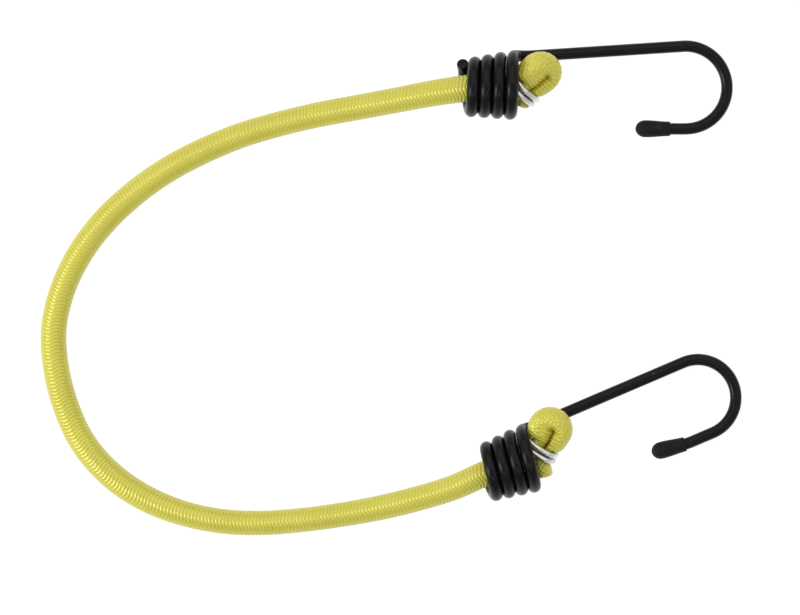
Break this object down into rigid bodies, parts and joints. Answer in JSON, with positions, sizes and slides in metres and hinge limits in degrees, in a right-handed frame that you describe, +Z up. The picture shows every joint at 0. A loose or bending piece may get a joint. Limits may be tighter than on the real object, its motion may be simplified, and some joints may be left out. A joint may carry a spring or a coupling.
{
  "type": "bungee cord",
  "caption": "Elastic cord in a braided sheath, laid in an open bow, whose ends are folded and clipped inside coiled wire hooks that swivel, for tying loads down.",
  "frame": {"origin": "on the surface that the cord lies on, under the middle of the box round the two hook ends", "axes": "+Z up from the surface; +X from the bow of the cord towards the hooks; +Y from the lower hook to the upper hook"},
  "size_m": [0.2167, 0.1531, 0.0207],
  "materials": {
    "sheath": "braided yellow synthetic yarn with a satin sheen",
    "core": "natural latex, dull",
    "hook": "black coat on steel wire, semi-gloss",
    "cap": "soft dipped vinyl, matt dark green-black",
    "clip": "bright zinc-coated steel wire"
  },
  "bodies": {
    "cord": {"cord_sheath": "sheath", "core_strand_01": "core", "core_strand_02": "core", "core_strand_03": "core", "core_strand_04": "core", "core_strand_05": "core", "core_strand_06": "core", "core_strand_07": "core", "core_strand_08": "core", "core_strand_09": "core", "core_strand_10": "core", "core_strand_11": "core", "core_strand_12": "core"},
    "upper_end": {"upper_fold_sheath": "sheath", "upper_fold_core": "core", "upper_clip": "clip"},
    "lower_end": {"lower_fold_sheath": "sheath", "lower_fold_core": "core", "lower_clip": "clip"},
    "upper_hook": {"upper_hook": "hook", "upper_tip_cap": "cap"},
    "lower_hook": {"lower_hook": "hook", "lower_tip_cap": "cap"}
  },
  "joints": [
    {"name": "upper_stretch", "type": "slide", "parent": "cord", "child": "upper_end", "axis": [0.9986, 0.0523, 0], "range_m": [0, 0.08], "stiffness_N_per_m": 600, "deforming": ["cord_sheath", "core_strand_01", "core_strand_02", "core_strand_03", "core_strand_04", "core_strand_05", "core_strand_06", "core_strand_07", "core_strand_08", "core_strand_09", "core_strand_10", "core_strand_11", "core_strand_12"]},
    {"name": "lower_stretch", "type": "slide", "parent": "cord", "child": "lower_end", "axis": [0.9438, 0.3305, 0], "range_m": [0, 0.08], "stiffness_N_per_m": 600, "deforming": ["cord_sheath", "core_strand_01", "core_strand_02", "core_strand_03", "core_strand_04", "core_strand_05", "core_strand_06", "core_strand_07", "core_strand_08", "core_strand_09", "core_strand_10", "core_strand_11", "core_strand_12"]},
    {"name": "upper_swivel", "type": "hinge", "parent": "upper_end", "child": "upper_hook", "pos_m": [-0.0273, 0.0571, 0.01025], "axis": [0.9986, 0.0523, 0], "range_deg": [-260, 10]},
    {"name": "lower_swivel", "type": "hinge", "parent": "lower_end", "child": "lower_hook", "pos_m": [-0.0223, -0.0584, 0.01025], "axis": [0.9438, 0.3305, 0], "range_deg": [-265, 0]}
  ]
}
